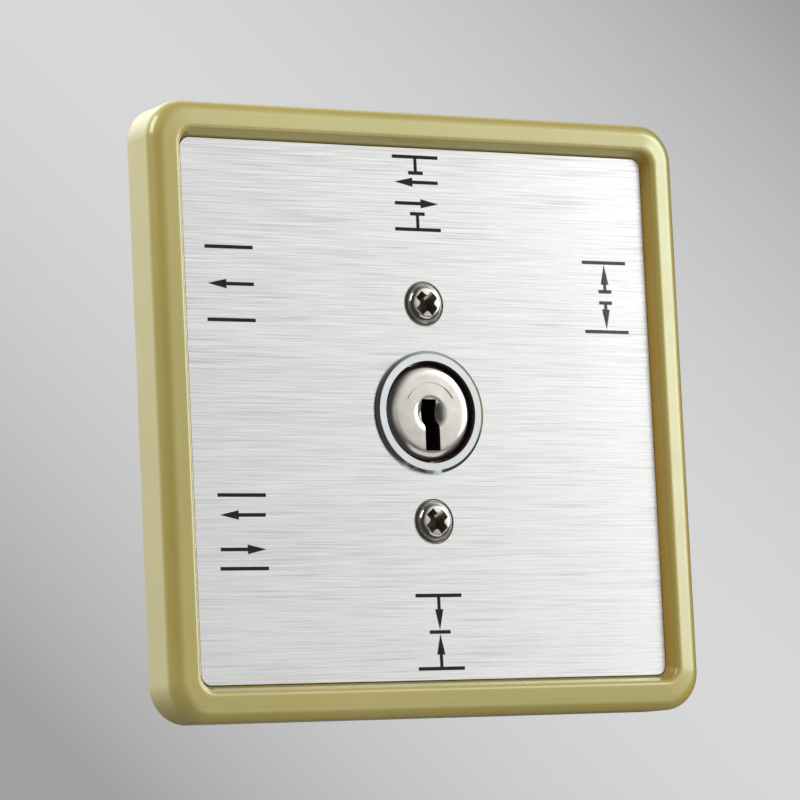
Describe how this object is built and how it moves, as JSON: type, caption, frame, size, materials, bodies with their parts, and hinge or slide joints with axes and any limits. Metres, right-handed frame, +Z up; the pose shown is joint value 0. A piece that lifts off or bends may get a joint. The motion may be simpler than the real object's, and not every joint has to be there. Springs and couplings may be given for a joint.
{
  "type": "selector key switch",
  "caption": "Square wall plate with a central key lock that turns through marked positions and drives a rotary switch with screw terminals behind.",
  "frame": {"origin": "where the lock's axis meets the wall plane, at the centre of the plate", "axes": "-Y out of the wall towards the user, +Y into the wall box, +X to the right seen from the front, +Z up"},
  "size_m": [0.086, 0.0413, 0.086],
  "materials": {
    "frame_paint": "satin champagne paint",
    "plate_brushed": "horizontally brushed",
    "bezel_chrome": "bright chrome plate",
    "plug_nickel": "polished nickel plate",
    "screw_nickel": "polished nickel, darkened in the recess",
    "zinc_plate": "bright zinc plate",
    "brass": "stamped",
    "spring_steel": "rolled strip",
    "housing_black": "moulded, fine texture",
    "rotor_white": "moulded",
    "board_brown": "phenolic laminate",
    "terminal_green": "moulded",
    "print_ink": "screen-printed black"
  },
  "bodies": {
    "root": {"front_frame": "frame_paint", "face_plate": "plate_brushed", "face_screw_top": "screw_nickel", "face_screw_bottom": "screw_nickel", "lock_housing": "bezel_chrome", "lock_washer": "zinc_plate", "lock_nut": "zinc_plate", "mounting_bridge": "zinc_plate", "pillar_top": "zinc_plate", "pillar_bottom": "zinc_plate", "bridge_screw_left": "zinc_plate", "bridge_screw_right": "zinc_plate", "switch_housing": "housing_black", "index_spring": "spring_steel", "contact_board": "board_brown", "contact_common": "brass", "contact_locked": "brass", "contact_automatic": "brass", "contact_exit_only": "brass", "contact_part_open": "brass", "contact_held_open": "brass", "board_screw_1": "zinc_plate", "board_screw_2": "zinc_plate", "board_screw_3": "zinc_plate", "board_screw_4": "zinc_plate", "terminal_block": "terminal_green", "terminal_clamp_1": "zinc_plate", "terminal_clamp_2": "zinc_plate", "terminal_clamp_3": "zinc_plate", "terminal_clamp_4": "zinc_plate", "terminal_clamp_5": "zinc_plate", "terminal_clamp_6": "zinc_plate", "terminal_screw_1": "zinc_plate", "terminal_screw_2": "zinc_plate", "terminal_screw_3": "zinc_plate", "terminal_screw_4": "zinc_plate", "terminal_screw_5": "zinc_plate", "terminal_screw_6": "zinc_plate"},
    "plug": {"lock_plug": "plug_nickel", "plug_clip": "spring_steel", "wafer_spring_1": "spring_steel", "wafer_spring_2": "spring_steel", "wafer_spring_3": "spring_steel", "wafer_spring_4": "spring_steel", "wafer_spring_5": "spring_steel"},
    "wafer_1": {"wafer_1": "brass"},
    "wafer_2": {"wafer_2": "brass"},
    "wafer_3": {"wafer_3": "brass"},
    "wafer_4": {"wafer_4": "brass"},
    "wafer_5": {"wafer_5": "brass"},
    "rotor": {"rotor": "rotor_white", "star_wheel": "brass", "wiper": "brass"}
  },
  "joints": [
    {"name": "lock_turn", "type": "hinge", "parent": "root", "child": "plug", "pos_m": [0, 0.002, 0], "axis": [0, 1, 0], "range_deg": [0, 240]},
    {"name": "rotor_turn", "type": "hinge", "parent": "root", "child": "rotor", "pos_m": [0, 0.018, 0], "axis": [0, 1, 0], "range_deg": [0, 240], "deforming": ["index_spring"]},
    {"name": "wafer_1_slide", "type": "slide", "parent": "plug", "child": "wafer_1", "axis": [0, 0, 1], "range_m": [0, 0.0009], "stiffness_N_per_m": 40, "springref_m": 0.0012, "deforming": ["wafer_spring_1"]},
    {"name": "wafer_2_slide", "type": "slide", "parent": "plug", "child": "wafer_2", "axis": [0, 0, -1], "range_m": [0, 0.0009], "stiffness_N_per_m": 40, "springref_m": 0.0012, "deforming": ["wafer_spring_2"]},
    {"name": "wafer_3_slide", "type": "slide", "parent": "plug", "child": "wafer_3", "axis": [0, 0, 1], "range_m": [0, 0.0009], "stiffness_N_per_m": 40, "springref_m": 0.0012, "deforming": ["wafer_spring_3"]},
    {"name": "wafer_4_slide", "type": "slide", "parent": "plug", "child": "wafer_4", "axis": [0, 0, -1], "range_m": [0, 0.0009], "stiffness_N_per_m": 40, "springref_m": 0.0012, "deforming": ["wafer_spring_4"]},
    {"name": "wafer_5_slide", "type": "slide", "parent": "plug", "child": "wafer_5", "axis": [0, 0, 1], "range_m": [0, 0.0009], "stiffness_N_per_m": 40, "springref_m": 0.0012, "deforming": ["wafer_spring_5"]}
  ],
  "couplings": [
    {"joint": "rotor_turn", "follows": "lock_turn", "ratio": 1}
  ]
}
